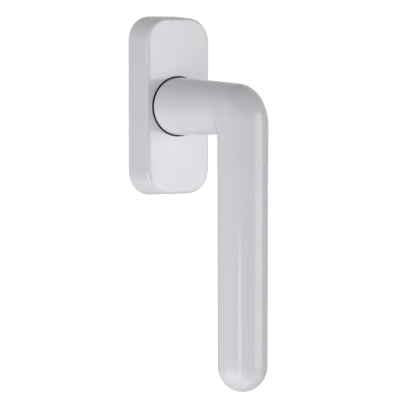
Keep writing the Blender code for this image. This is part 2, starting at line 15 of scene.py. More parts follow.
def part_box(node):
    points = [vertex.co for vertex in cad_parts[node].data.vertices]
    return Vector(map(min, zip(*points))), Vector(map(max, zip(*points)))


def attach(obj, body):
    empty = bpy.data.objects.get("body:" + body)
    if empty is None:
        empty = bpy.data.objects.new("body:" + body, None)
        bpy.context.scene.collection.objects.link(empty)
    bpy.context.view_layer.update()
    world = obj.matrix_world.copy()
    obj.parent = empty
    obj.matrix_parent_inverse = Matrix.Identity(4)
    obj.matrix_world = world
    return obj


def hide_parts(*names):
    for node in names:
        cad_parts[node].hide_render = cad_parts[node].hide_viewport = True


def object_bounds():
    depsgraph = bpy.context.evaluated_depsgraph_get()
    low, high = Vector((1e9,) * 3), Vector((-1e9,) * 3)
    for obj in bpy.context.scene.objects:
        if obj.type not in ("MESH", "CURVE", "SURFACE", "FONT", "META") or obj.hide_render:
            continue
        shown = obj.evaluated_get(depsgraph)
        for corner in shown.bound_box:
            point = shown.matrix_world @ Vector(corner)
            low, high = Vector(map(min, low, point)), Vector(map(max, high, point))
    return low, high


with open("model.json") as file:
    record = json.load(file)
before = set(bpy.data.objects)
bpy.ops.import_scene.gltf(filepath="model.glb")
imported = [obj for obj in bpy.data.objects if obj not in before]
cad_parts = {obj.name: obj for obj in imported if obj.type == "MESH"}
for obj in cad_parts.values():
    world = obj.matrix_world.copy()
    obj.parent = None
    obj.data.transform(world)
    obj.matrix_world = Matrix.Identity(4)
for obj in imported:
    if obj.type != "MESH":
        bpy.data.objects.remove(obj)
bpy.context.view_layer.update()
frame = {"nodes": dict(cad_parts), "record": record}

MM = 0.001
GAP = 0.3 * MM
TURN = 2 * math.pi
QUARTER = math.pi / 2


def forward_of(node):
    """(back, front) of a CAD node, as forward distances."""
    low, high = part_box(node)
    return -high.y, -low.y


def half_width(node):
    low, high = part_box(node)
    return (high.x - low.x) / 2


def middle(node):
    """(x, z) of a CAD node's middle."""
    low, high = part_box(node)
    return (low.x + high.x) / 2, (low.z + high.z) / 2


# The look of an edge: how far it is rounded on cast and machined pieces.
CAST_EDGE = 0.25 * MM
MACHINED_EDGE = 0.12 * MM

# Rose cover.
COVER_CORNER = 9.2 * MM
COVER_RIM = 1.0 * MM
COVER_DRAFT = 0.8 * MM
COVER_WALL = 1.7 * MM
COVER_HOLE_RADIUS = 11.8 * MM

# Grip.
NECK_START = 13.2 * MM
NECK_ROOT_RADIUS = 11.3 * MM
NECK_END_RADIUS = 9.4 * MM
GRIP_TOP_RADIUS = 9.6 * MM
GRIP_END_RADIUS = 9.5 * MM
GRIP_TIP_STRETCH = 1.05
GRIP_ROOT_RADIUS = 10.4 * MM
GRIP_BORE_RADIUS = 7.4 * MM
ELBOW_OUTER_RADIUS = 14.6 * MM
ELBOW_INNER_FILLET = 3.0 * MM
CORE_BEND_RADIUS = 8.0 * MM

# Hub: bored for the core from the front and for the spindle from the back.
HUB_FRONT = forward_of("neck_hub")[1]
HUB_SHOULDER = 10.6 * MM
HUB_SHAFT_RADIUS = 6.2 * MM
HUB_FLATS = 5.3 * MM
HUB_GROOVE_RADIUS = 5.4 * MM
HUB_GROOVE = (1.1 * MM, 2.5 * MM)
CORE_BORE_END = 16.0 * MM
SPINDLE_BORE_END = 14.0 * MM

# Plate and what it holds.
PLATE_CORNER = 7.0 * MM
PLATE_RIM = 0.6 * MM
REAR_RECESS_RADIUS = 9.5 * MM
PLATE_FLOOR = (3.4 * MM, 4.6 * MM)
CHAMBER_WIDTH = 20.0 * MM
CHAMBER_HEIGHT = 19.0 * MM
SPIGOT_RADIUS = 5.0 * MM
SCREW_HOLE_RADIUS = 2.8 * MM
COUNTERBORE_RADIUS = 4.9 * MM
REAR_POCKET_X = (6.6 * MM, 10.0 * MM)
REAR_POCKET_Z = (15.5 * MM, 27.0 * MM)
REAR_POCKET_DEPTH = 5.0 * MM
KEEPER_CORNER = 2.0 * MM
PILOT_END = 3.9 * MM
COVER_SPRING_SEAT_WIDTH = 11.0 * MM
COVER_SPRING_SEAT_EDGE = 30.0 * MM
CAM_CORNER = 3.0 * MM
RING_EYE_RADIUS = 1.5 * MM
RING_EYE_HOLE = 0.7 * MM
RING_EYE_PLACE = (2.6 * MM, 7.3 * MM)
RING_OPENING = 3.2 * MM
GUIDE_RING_BORE = 10.7 * MM

# Screws.
FIXING_SCREW_RADIUS = 2.5 * MM
KEEPER_SCREWS = [f"keeper_screw_{v}_{h}" for v in ("upper", "lower") for h in ("left", "right")]
KEEPER_SCREW_RADIUS = 1.25 * MM
KEEPER_THREAD_START = 8.4 * MM
HEAD_BOTTOM = {"fixing": 6.4 * MM, "keeper": 9.8 * MM}

# Threads.
FIXING_THREAD = (0.8 * MM, 0.43 * MM)
KEEPER_THREAD = (0.45 * MM, 0.24 * MM)

# Camera: where its axis passes the origin, in its own right and up directions.
CAMERA_AZIMUTH = -31.5
CAMERA_ELEVATION = 3.38
CAMERA_DISTANCE = 1.115
CAMERA_AIM = (15.25 * MM, -37.2 * MM)
CAMERA_LENS = 254.8
CAMERA_SENSOR = 36.0


# ---------------------------------------------------------------- mesh helpers


def object_from(bm, name, smooth_angle=35.0):
    mesh = bpy.data.meshes.new(name)
    bmesh.ops.recalc_face_normals(bm, faces=bm.faces)
    bm.to_mesh(mesh)
    bm.free()
    obj = bpy.data.objects.new(name, mesh)
    bpy.context.scene.collection.objects.link(obj)
    mesh.shade_smooth()
    mesh.set_sharp_from_angle(angle=math.radians(smooth_angle))
    return obj


def freeze(obj, smooth_angle=35.0):
    """Applies the modifiers, so that the mesh that is seen is the mesh that is kept."""
    graph = bpy.context.evaluated_depsgraph_get()
    graph.update()
    mesh = bpy.data.meshes.new_from_object(obj.evaluated_get(graph))
    obj.modifiers.clear()
    old = obj.data
    obj.data = mesh
    mesh.name = obj.name
    bpy.data.meshes.remove(old)
    mesh.shade_smooth()
    mesh.set_sharp_from_angle(angle=math.radians(smooth_angle))


def carve(obj, cutters, operation="DIFFERENCE"):
    """Cuts or joins other shapes, then removes them."""
    for cutter in cutters:
        boolean = obj.modifiers.new(cutter.name, "BOOLEAN")
        boolean.operation = operation
        boolean.object = cutter
    freeze(obj)
    for cutter in cutters:
        bpy.data.objects.remove(cutter)


def round_edges(obj, width, segments=3, angle=32.0):
    bevel = obj.modifiers.new("round edges", "BEVEL")
    bevel.width = width
    bevel.segments = segments
    bevel.limit_method = "ANGLE"
    bevel.angle_limit = math.radians(angle)
    bevel.use_clamp_overlap = True
    bevel.harden_normals = False
    freeze(obj, smooth_angle=50.0)


def fillet(points, radius, steps=4, closed=True):
    """Rounds each corner of a profile with an arc, as far as its two sides allow."""
    count = len(points)
    result = []
    for index, point in enumerate(points):
        inner = closed or 0 < index < count - 1
        corner = Vector(point)
        before = Vector(points[index - 1]) - corner
        after = Vector(points[(index + 1) % count]) - corner
        if not inner or min(before.length, after.length) < 1e-9:
            result.append(tuple(corner))
            continue
        half = before.angle(after) / 2
        reach = min(radius / math.tan(half), before.length * 0.45, after.length * 0.45)
        arc_radius = reach * math.tan(half)
        start = corner + before.normalized() * reach
        end = corner + after.normalized() * reach
        if half > math.radians(85.0) or arc_radius < 1e-7:
            result.append(tuple(corner))
            continue
        middle_way = (before.normalized() + after.normalized()).normalized()
        centre = corner + middle_way * (arc_radius / math.sin(half))
        for step in range(steps + 1):
            spoke = (start - centre).lerp(end - centre, step / steps).normalized()
            result.append(tuple(centre + spoke * arc_radius))
    return result


def revolve(profile, closed=True, steps=72, x=0.0, z=0.0):
    """Turns (radius, forward) points about a line along Y through (x, z)."""
    bm = bmesh.new()
    rings = []
    for radius, forward in profile:
        if radius < 1e-7:
            rings.append([bm.verts.new((x, -forward, z))] * steps)
            continue
        ring = []
        for step in range(steps):
            turn = TURN * step / steps
            place = (x + radius * math.cos(turn), -forward, z + radius * math.sin(turn))
            ring.append(bm.verts.new(place))
        rings.append(ring)
    pairs = list(zip(rings, rings[1:]))
    if closed:
        pairs.append((rings[-1], rings[0]))
    for first, second in pairs:
        for step in range(steps):
            after = (step + 1) % steps
            corners = [first[step], first[after], second[after], second[step]]
            corners = list(dict.fromkeys(corners))
            if len(corners) > 2:
                bm.faces.new(corners)
    return bm


def loft(rings, close_start=True, tip=None):
    """Skins rings of equal length, given as lists of points."""
    bm = bmesh.new()
    rows = [[bm.verts.new(point) for point in ring] for ring in rings]
    sides = len(rows[0])
    for lower, upper in zip(rows, rows[1:]):
        for side in range(sides):
            after = (side + 1) % sides
            bm.faces.new((lower[side], lower[after], upper[after], upper[side]))
    if close_start:
        bm.faces.new(rows[0])
    if tip is None:
        bm.faces.new(rows[-1])
    else:
        point = bm.verts.new(tip)
        for side in range(sides):
            bm.faces.new((rows[-1][side], rows[-1][(side + 1) % sides], point))
    return bm


def box(name, x, forward, z, corner=0.0, corner_steps=4):
    """A box between pairs of x, forward and z, with the corners along Y rounded."""
    bm = bmesh.new()
    size = Vector((x[1] - x[0], forward[1] - forward[0], z[1] - z[0]))
    centre = Vector((sum(x) / 2, -sum(forward) / 2, sum(z) / 2))
    matrix = Matrix.Translation(centre) @ Matrix.Diagonal(size).to_4x4()
    bmesh.ops.create_cube(bm, size=1.0, matrix=matrix)
    if corner:
        edges = [edge for edge in bm.edges if abs(edge.verts[0].co.y - edge.verts[1].co.y) > 1e-6]
        bmesh.ops.bevel(bm, geom=edges, offset=corner, segments=corner_steps, profile=0.5, affect="EDGES")
    return object_from(bm, name)


def bar(name, radius, forward, x=0.0, z=0.0, steps=64):
    """A round bar along Y."""
    back, front = forward
    profile = [(0, front), (radius, front), (radius, back), (0, back)]
    return object_from(revolve(profile, False, steps, x, z), name)


def rounded_block(name, width, height, forward, corner, draft, rim, corner_steps=16, rim_steps=8):
    """A block whose four long corners and front rim are round, narrower in front by the draft."""
    bm = bmesh.new()
    back, front = forward
    middle = -(back + front) / 2
    size = Matrix.Diagonal((width, front - back, height, 1.0))
    bmesh.ops.create_cube(bm, size=1.0, matrix=Matrix.Translation((0, middle, 0)) @ size)
    for vert in bm.verts:
        if vert.co.y < middle:
            vert.co.x -= math.copysign(draft, vert.co.x)
            vert.co.z -= math.copysign(draft, vert.co.z)
    edges = [edge for edge in bm.edges if abs(edge.verts[0].co.y - edge.verts[1].co.y) > 1e-6]
    bmesh.ops.bevel(bm, geom=edges, offset=corner, segments=corner_steps, profile=0.5, affect="EDGES")
    if rim:
        edges = [edge for edge in bm.edges if all(v.co.y < -front + 1e-6 for v in edge.verts)]
        bmesh.ops.bevel(bm, geom=edges, offset=rim, segments=rim_steps, profile=0.5, affect="EDGES")
    return object_from(bm, name)


def finish_piece(obj, body, material, stands_for=()):
    """Gives a piece its material and its place in the frame."""
    obj.data.materials.clear()
    obj.data.materials.append(material)
    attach(obj, body)
    if stands_for:
        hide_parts(*stands_for)


# ---------------------------------------------------------------- materials


def new_material(name, colour, roughness, metallic=0.0):
    material = bpy.data.materials.new(name)
    material.use_nodes = True
    shader = material.node_tree.nodes["Principled BSDF"]
    shader.inputs["Base Color"].default_value = (*colour, 1.0)
    shader.inputs["Roughness"].default_value = roughness
    shader.inputs["Metallic"].default_value = metallic
    return material, material.node_tree, shader


def coordinates(tree, stretch=(1.0, 1.0, 1.0)):
    """The piece's own coordinates in metres, stretched per axis."""
    source = tree.nodes.new("ShaderNodeTexCoord")
    mapping = tree.nodes.new("ShaderNodeMapping")
    mapping.inputs["Scale"].default_value = stretch
    tree.links.new(source.outputs["Object"], mapping.inputs["Vector"])
    return mapping.outputs["Vector"]


def noise(tree, vector, scale, detail=3.0, roughness=0.5):
    node = tree.nodes.new("ShaderNodeTexNoise")
    node.inputs["Scale"].default_value = scale
    node.inputs["Detail"].default_value = detail
    node.inputs["Roughness"].default_value = roughness
    tree.links.new(vector, node.inputs["Vector"])
    return node.outputs["Fac"]


def as_colour(level):
    """A colour, or a grey level, with full alpha."""
    return (*level, 1.0) if isinstance(level, tuple) else (level, level, level, 1.0)


def ramp(tree, factor, low, high, start=0.0, end=1.0):
    """Maps a factor between two levels, or two colours."""
    node = tree.nodes.new("ShaderNodeValToRGB")
    node.color_ramp.elements[0].position = start
    node.color_ramp.elements[1].position = end
    node.color_ramp.elements[0].color = as_colour(low)
    node.color_ramp.elements[1].color = as_colour(high)
    tree.links.new(factor, node.inputs["Fac"])
    return node.outputs["Color"]


def bump(tree, height, strength, distance, after=None):
    node = tree.nodes.new("ShaderNodeBump")
    node.inputs["Strength"].default_value = strength
    node.inputs["Distance"].default_value = distance
    tree.links.new(height, node.inputs["Height"])
    if after is not None:
        tree.links.new(after, node.inputs["Normal"])
    return node.outputs["Normal"]


def white_nylon(name, ior):
    """Glossy moulded polyamide: faint waviness, polish marks and a trace of handling."""
    material, tree, shader = new_material(name, (0.75, 0.75, 0.765), 0.14)
    shader.inputs["IOR"].default_value = ior
    plain = coordinates(tree)
    along = coordinates(tree, (6.0, 1.0, 1.0))
    tone = noise(tree, plain, 28.0, 2.0)
    colour = ramp(tree, tone, (0.735, 0.730, 0.765), (0.755, 0.750, 0.785))
    tree.links.new(colour, shader.inputs["Base Color"])
    smear = noise(tree, plain, 95.0, 5.0, 0.6)
    tree.links.new(ramp(tree, smear, 0.06, 0.11, 0.35, 0.7), shader.inputs["Roughness"])
    wave = bump(tree, noise(tree, plain, 140.0, 1.0), 0.05, 0.0004)
    polish = bump(tree, noise(tree, along, 900.0, 2.0), 0.02, 0.0001, wave)
    tree.links.new(polish, shader.inputs["Normal"])
    return material


def black_polymer():
    material, tree, shader = new_material("black_polymer", (0.012, 0.012, 0.014), 0.4)
    plain = coordinates(tree)
    tree.links.new(ramp(tree, noise(tree, plain, 300.0), 0.32, 0.5), shader.inputs["Roughness"])
    tree.links.new(bump(tree, noise(tree, plain, 2500.0), 0.1, 0.0001), shader.inputs["Normal"])
    return material


def natural_polymer():
    material, tree, shader = new_material("natural_polymer", (0.72, 0.70, 0.64), 0.42)
    plain = coordinates(tree)
    tone = noise(tree, plain, 120.0)
    tree.links.new(ramp(tree, tone, (0.70, 0.68, 0.62), (0.76, 0.74, 0.69)), shader.inputs["Base Color"])
    tree.links.new(bump(tree, noise(tree, plain, 2200.0), 0.08, 0.0001), shader.inputs["Normal"])
    return material


def cast_alloy():
    """Die-cast metal: fine grain, flow marks and slightly uneven tone."""
    material, tree, shader = new_material("cast_alloy", (0.60, 0.61, 0.63), 0.42, 1.0)
    plain = coordinates(tree)
    flow = noise(tree, coordinates(tree, (1.0, 1.0, 0.35)), 170.0, 6.0, 0.65)
    colour = ramp(tree, flow, (0.50, 0.51, 0.53), (0.68, 0.69, 0.70), 0.3, 0.72)
    tree.links.new(colour, shader.inputs["Base Color"])
    tree.links.new(ramp(tree, flow, 0.50, 0.34, 0.3, 0.7), shader.inputs["Roughness"])
    grain = bump(tree, noise(tree, plain, 3600.0, 4.0), 0.22, 0.0001)
    tree.links.new(bump(tree, flow, 0.12, 0.0002, grain), shader.inputs["Normal"])
    return material


def plated_steel():
    """Bright zinc plate: a cool tone with faint iridescent patches and fine drawn lines."""
    material, tree, shader = new_material("plated_steel", (0.66, 0.67, 0.69), 0.25, 1.0)
    plain = coordinates(tree)
    patch = noise(tree, plain, 210.0, 3.0)
    colour = ramp(tree, patch, (0.60, 0.62, 0.66), (0.72, 0.71, 0.69), 0.35, 0.68)
    tree.links.new(colour, shader.inputs["Base Color"])
    lines = noise(tree, coordinates(tree, (1.0, 0.05, 1.0)), 1300.0, 3.0)
    tree.links.new(ramp(tree, lines, 0.22, 0.34, 0.3, 0.7), shader.inputs["Roughness"])
    tree.links.new(bump(tree, lines, 0.06, 0.0001), shader.inputs["Normal"])
    return material


def spring_steel():
    material, tree, shader = new_material("spring_steel", (0.30, 0.31, 0.33), 0.32, 1.0)
    plain = coordinates(tree)
    patch = noise(tree, plain, 260.0, 4.0)
    colour = ramp(tree, patch, (0.22, 0.23, 0.26), (0.36, 0.36, 0.37), 0.3, 0.7)
    tree.links.new(colour, shader.inputs["Base Color"])
    lines = noise(tree, coordinates(tree, (1.0, 1.0, 0.08)), 2200.0)
    tree.links.new(ramp(tree, lines, 0.26, 0.42, 0.3, 0.7), shader.inputs["Roughness"])
    return material


MATERIALS = {
    "grip": white_nylon("grip_nylon", 1.42),
    "cover": white_nylon("cover_nylon", 1.6),
    "black_polymer": black_polymer(),
    "natural_polymer": natural_polymer(),
    "cast_alloy": cast_alloy(),
    "plated_steel": plated_steel(),
    "spring_steel": spring_steel(),
}


# ---------------------------------------------------------------- grip


GRIP_FORWARD = forward_of("grip_sleeve")[1] - GRIP_TOP_RADIUS
GRIP_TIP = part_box("grip_sleeve")[0].z
GRIP_STRAIGHT_END = GRIP_TIP + GRIP_END_RADIUS * GRIP_TIP_STRETCH
GRIP_ROOT = forward_of("grip_sleeve")[0]


def neck_radius(forward):
    """The neck tapers from its root to the grip's axis."""
    share = (forward - NECK_START) / (GRIP_FORWARD - NECK_START)
    return NECK_ROOT_RADIUS + (NECK_END_RADIUS - NECK_ROOT_RADIUS) * share


def elbow_pivot():
    """Centre of the inner fillet, as (forward, up): the elbow's sections fan out from it."""
    forward = GRIP_FORWARD - GRIP_TOP_RADIUS - ELBOW_INNER_FILLET
    return Vector((forward, -neck_radius(forward) - ELBOW_INNER_FILLET))


def elbow_reach(angle):
    """Distance from the pivot to the outer side: the neck's top, an arc, then the grip's front."""
    pivot = elbow_pivot()
    direction = Vector((math.sin(angle), math.cos(angle)))
    slope = (NECK_ROOT_RADIUS - NECK_END_RADIUS) / (GRIP_FORWARD - NECK_START)
    arc_forward = GRIP_FORWARD + GRIP_TOP_RADIUS - ELBOW_OUTER_RADIUS
    arc_centre = Vector((arc_forward, neck_radius(arc_forward) - ELBOW_OUTER_RADIUS))
    along = (arc_centre - pivot).dot(direction)
    away = (arc_centre - pivot).length_squared
    on_arc = along + math.sqrt(along**2 - away + ELBOW_OUTER_RADIUS**2)
    hit = pivot + on_arc * direction
    if hit.y < arc_centre.y:
        return (GRIP_FORWARD + GRIP_TOP_RADIUS - pivot.x) / math.sin(angle)
    if hit.x < arc_centre.x:
        return (neck_radius(pivot.x) - pivot.y) / (math.cos(angle) + slope * math.sin(angle))
    return on_arc


def section_ring(centre, direction, half_height, half_width, sides):
    """An elliptical ring of points: centre and direction are (forward, up)."""
    ring = []
    for side in range(sides):
        turn = TURN * side / sides
        point = centre + direction * half_height * math.cos(turn)
        ring.append((half_width * math.sin(turn), -point.x, point.y))
    return ring


def grip_rings(sides=96):
    up = Vector((0.0, 1.0))
    back = Vector((1.0, 0.0))
    pivot = elbow_pivot()
    rings = []

    def add(forward, height, direction, half_height, half_width):
        rings.append(section_ring(Vector((forward, height)), direction, half_height, half_width, sides))

    edge = 0.35 * MM
    add(GRIP_ROOT, 0, up, GRIP_ROOT_RADIUS - edge, GRIP_ROOT_RADIUS - edge)
    add(GRIP_ROOT + edge, 0, up, GRIP_ROOT_RADIUS, GRIP_ROOT_RADIUS)
    add(NECK_START, 0, up, GRIP_ROOT_RADIUS, GRIP_ROOT_RADIUS)
    root_steps = 4
    for step in range(root_steps + 1):
        angle = QUARTER * step / root_steps
        radius = NECK_ROOT_RADIUS - edge * (1 - math.sin(angle))
        add(NECK_START + edge * (1 - math.cos(angle)), 0, up, radius, radius)
    neck_steps = 12
    for step in range(1, neck_steps + 1):
        start = NECK_START + edge
        forward = start + (pivot.x - start) * step / neck_steps
        add(forward, 0, up, neck_radius(forward), neck_radius(forward))
    elbow_steps = 40
    for step in range(1, elbow_steps + 1):
        share = step / elbow_steps
        angle = QUARTER * share
        direction = Vector((math.sin(angle), math.cos(angle)))
        reach = elbow_reach(angle)
        centre = pivot + direction * (reach + ELBOW_INNER_FILLET) / 2
        width = neck_radius(pivot.x) * (1 - share) + GRIP_TOP_RADIUS * share
        rings.append(section_ring(centre, direction, (reach - ELBOW_INNER_FILLET) / 2, width, sides))
    grip_steps = 24
    for step in range(1, grip_steps + 1):
        share = step / grip_steps
        radius = GRIP_TOP_RADIUS + (GRIP_END_RADIUS - GRIP_TOP_RADIUS) * share
        add(GRIP_FORWARD, pivot.y + (GRIP_STRAIGHT_END - pivot.y) * share, back, radius, radius)
    tip_steps = 24
    for step in range(1, tip_steps):
        angle = QUARTER * step / tip_steps
        height = GRIP_STRAIGHT_END - GRIP_END_RADIUS * GRIP_TIP_STRETCH * math.sin(angle)
        radius = GRIP_END_RADIUS * math.cos(angle)
        add(GRIP_FORWARD, height, back, radius, radius)
    return rings


def core_channel():
    """The round channel for the steel core: forward along the neck, round the bend, down the grip."""
    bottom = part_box("grip_core")[0].z - GAP
    radius = half_width("grip_core") + GAP
    up, back = Vector((0.0, 1.0)), Vector((1.0, 0.0))
    rings = [section_ring(Vector((HUB_FRONT - MM, 0)), up, radius, radius, 32)]
    bend_steps = 12
    for step in range(bend_steps + 1):
        angle = QUARTER * step / bend_steps
        direction = Vector((math.sin(angle), math.cos(angle)))
        centre = Vector((GRIP_FORWARD - CORE_BEND_RADIUS, -CORE_BEND_RADIUS)) + CORE_BEND_RADIUS * direction
        rings.append(section_ring(centre, direction, radius, radius, 32))
    rings.append(section_ring(Vector((GRIP_FORWARD, bottom)), back, radius, radius, 32))
    return object_from(loft(rings), "core channel")


def make_grip():
    skin = loft(grip_rings(), tip=(0, -GRIP_FORWARD, GRIP_TIP))
    grip = object_from(skin, "grip", smooth_angle=60.0)
    carve(grip, [bar("hub bore", GRIP_BORE_RADIUS, (GRIP_ROOT - MM, HUB_FRONT + GAP)), core_channel()])
    finish_piece(grip, "handle", MATERIALS["grip"], ["grip_sleeve"])


# ---------------------------------------------------------------- rose cover


def make_cover():
    low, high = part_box("rose_cover")
    width, height, depth = high.x - low.x, high.z - low.z, high.y - low.y
    cover = rounded_block("cover", width, height, (0, depth), COVER_CORNER, COVER_DRAFT, COVER_RIM)
    slope = COVER_DRAFT / depth
    inside = depth - COVER_WALL
    extra = 2 * slope * MM - 2 * COVER_WALL
    hollow = rounded_block(
        "hollow", width + extra, height + extra, (-MM, inside), COVER_CORNER - COVER_WALL,
        slope * (inside + MM), 0.5 * MM, rim_steps=3,
    )
    opening = bar("opening", COVER_HOLE_RADIUS, (inside - MM, depth + MM), steps=96)
    carve(cover, [hollow, opening])
    finish_piece(cover, "cover", MATERIALS["cover"], ["rose_cover"])


# ---------------------------------------------------------------- turned and stamped pieces


def turned_piece(node, profile, edge, body, slot, closed=True, cutters=(), steps=72):
    """A turned piece with rounded edges that stands for a CAD node."""
    x, z = middle(node)
    piece = object_from(revolve(fillet(profile, edge, closed=closed), closed, steps, x, z), node + "_fine")
    if cutters:
        carve(piece, cutters)
    finish_piece(piece, body, MATERIALS[slot], [node])
    return piece


def ring_profile(node, bore, radius):
    back, front = forward_of(node)
    return [(bore, front), (radius, front), (radius, back), (bore, back)]


def make_rings():
    shaft_bore = HUB_SHAFT_RADIUS + GAP
    back, front = forward_of("guide_ring")
    outer = half_width("guide_ring")
    step = 0.15 * MM
    guide = [
        (GUIDE_RING_BORE, front), (outer, front), (outer, back + 8 * step), (outer - step, back + 7 * step),
        (outer - step, back), (GUIDE_RING_BORE, back),
    ]
    turned_piece("guide_ring", guide, 0.1 * MM, "rose_base", "black_polymer", steps=128)
    slide = ring_profile("slide_washer", shaft_bore, half_width("slide_washer"))
    turned_piece("slide_washer", slide, 0.15 * MM, "rose_base", "natural_polymer", steps=96)
    thrust = ring_profile("thrust_washer", shaft_bore, half_width("thrust_washer"))
    turned_piece("thrust_washer", thrust, 0.15 * MM, "handle", "plated_steel", steps=96)


def make_retaining_ring():
    """An open ring in the hub's groove, with an eye at each end for the pliers."""
    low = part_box("retaining_ring")[0]
    back, front = forward_of("retaining_ring")
    band = -low.z
    profile = ring_profile("retaining_ring", HUB_GROOVE_RADIUS + GAP, band)
    clip = object_from(revolve(profile), "retaining_ring_fine")
    span = (back - MM, front + MM)
    half_opening = RING_OPENING / 2
    carve(clip, [box("ring opening", (-half_opening, half_opening), span, (0, REAR_RECESS_RADIUS))])
    across, up = RING_EYE_PLACE
    eyes = [bar(f"eye {x:.4f}", RING_EYE_RADIUS, (back, front), x, up, 40) for x in (-across, across)]
    carve(clip, eyes, "UNION")
    carve(clip, [bar(f"eye hole {x:.4f}", RING_EYE_HOLE, span, x, up, 24) for x in (-across, across)])
    round_edges(clip, 0.1 * MM, segments=2)
    finish_piece(clip, "handle", MATERIALS["spring_steel"], ["retaining_ring"])


def make_hub():
    radius = half_width("neck_hub")
    back, front = forward_of("neck_hub")
    core_bore = half_width("grip_core") + GAP
    groove_back, groove_front = HUB_GROOVE
    profile = fillet([
        (core_bore, CORE_BORE_END), (core_bore, front), (radius, front), (radius, HUB_SHOULDER),
        (HUB_SHAFT_RADIUS, HUB_SHOULDER), (HUB_SHAFT_RADIUS, groove_front),
        (HUB_GROOVE_RADIUS, groove_front), (HUB_GROOVE_RADIUS, groove_back),
        (HUB_SHAFT_RADIUS, groove_back), (HUB_SHAFT_RADIUS, back),
    ], MACHINED_EDGE, steps=2, closed=False)
    hub = object_from(revolve([(0, CORE_BORE_END)] + profile + [(0, back)], closed=False), "neck_hub_fine")
    side = half_width("square_spindle") + GAP
    flat_span = (back - MM, forward_of("detent_cam")[1] + GAP)
    tall = (-3 * radius, 3 * radius)
    carve(hub, [
        box("spindle bore", (-side, side), (back - MM, SPINDLE_BORE_END), (-side, side), 0.5 * MM, 3),
        box("hub flat left", (-2 * radius, -HUB_FLATS), flat_span, tall),
        box("hub flat right", (HUB_FLATS, 2 * radius), flat_span, tall),
        cross_hole("core pin hole", "core_pin", "X"),
        cross_hole("spindle pin hole", "spindle_pin", "Z"),
    ])
    finish_piece(hub, "handle", MATERIALS["plated_steel"], ["neck_hub"])


def cross_hole(name, pin, axis):
    """A hole across the neck, a gap wider than the pin that sits in it."""
    low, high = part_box(pin)
    centre = (low + high) / 2
    radius = (high.y - low.y) / 2 + GAP
    reach = 2 * (high - low)[0 if axis == "X" else 2]
    bm = bmesh.new()
    turn = Matrix.Rotation(QUARTER, 4, "Y") if axis == "X" else Matrix.Identity(4)
    bmesh.ops.create_cone(
        bm, cap_ends=True, segments=32, radius1=radius, radius2=radius, depth=reach,
        matrix=Matrix.Translation(centre) @ turn,
    )
    return object_from(bm, name)


def make_spindle():
    """A drawn square bar with broken edges, chamfered at its free end."""
    side = half_width("square_spindle")
    chamfer = 0.5 * MM
    corner = 0.4 * MM
    back, front = forward_of("square_spindle")
    places = ((chamfer, back), (0, back + 1.6 * chamfer), (0, front - chamfer), (chamfer, front))
    rings = [square_ring(side - inset, corner, forward) for inset, forward in places]
    spindle = object_from(loft(rings), "square_spindle_fine", smooth_angle=28.0)
    carve(spindle, [cross_hole("spindle pin hole", "spindle_pin", "Z")])
    finish_piece(spindle, "handle", MATERIALS["plated_steel"], ["square_spindle"])


def square_ring(half, corner, forward, corner_steps=4):
    """A square outline with round corners, at a forward distance."""
    ring = []
    for quadrant in range(4):
        for step in range(corner_steps + 1):
            angle = QUARTER * (quadrant + step / corner_steps)
            across = half - corner
            signs = ((1, 1), (-1, 1), (-1, -1), (1, -1))[quadrant]
            x = signs[0] * across + corner * math.cos(angle)
            z = signs[1] * across + corner * math.sin(angle)
            ring.append((x, -forward, z))
    return ring


def make_cam():
    back, front = forward_of("detent_cam")
    side = 2 * half_width("detent_cam")
    cam = rounded_block("detent_cam_fine", side, side, (back, front), CAM_CORNER, 0.0, 0.25 * MM, 12, 3)
    radius = HUB_SHAFT_RADIUS + GAP
    bore = revolve([(0, front + MM), (radius, front + MM), (radius, back - MM), (0, back - MM)], closed=False)
    flat = HUB_FLATS + GAP
    for vert in bore.verts:
        vert.co.x = max(-flat, min(flat, vert.co.x))
    carve(cam, [object_from(bore, "cam bore")])
    finish_piece(cam, "handle", MATERIALS["plated_steel"], ["detent_cam"])


def make_keeper():
    low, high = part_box("keeper_plate")
    back, front = forward_of("keeper_plate")
    holes = [(HUB_SHAFT_RADIUS + GAP, 0, 0)]
    for screw in KEEPER_SCREWS:
        x, z = middle(screw)
        holes.append((KEEPER_SCREW_RADIUS + GAP, x, z))
    plate = rounded_block(
        "keeper_plate_fine", high.x - low.x, high.z - low.z, (back, front), KEEPER_CORNER, 0.0, 0.0, 10,
    )
    span = (back - MM, front + MM)
    carve(plate, [bar(f"keeper hole {i}", r, span, x, z, 48) for i, (r, x, z) in enumerate(holes)])
    round_edges(plate, 0.15 * MM, segments=2)
    finish_piece(plate, "rose_base", MATERIALS["plated_steel"], ["keeper_plate"])


def make_detent_springs():
    """Flat strips with round ends."""
    for side in ("left", "right"):
        node = f"detent_spring_{side}"
        low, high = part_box(node)
        back, front = forward_of(node)
        strip = box(node + "_fine", (low.x, high.x), (back, front), (low.z, high.z))
        round_edges(strip, 0.2 * MM, segments=4)
        finish_piece(strip, "rose_base", MATERIALS["spring_steel"], [node])


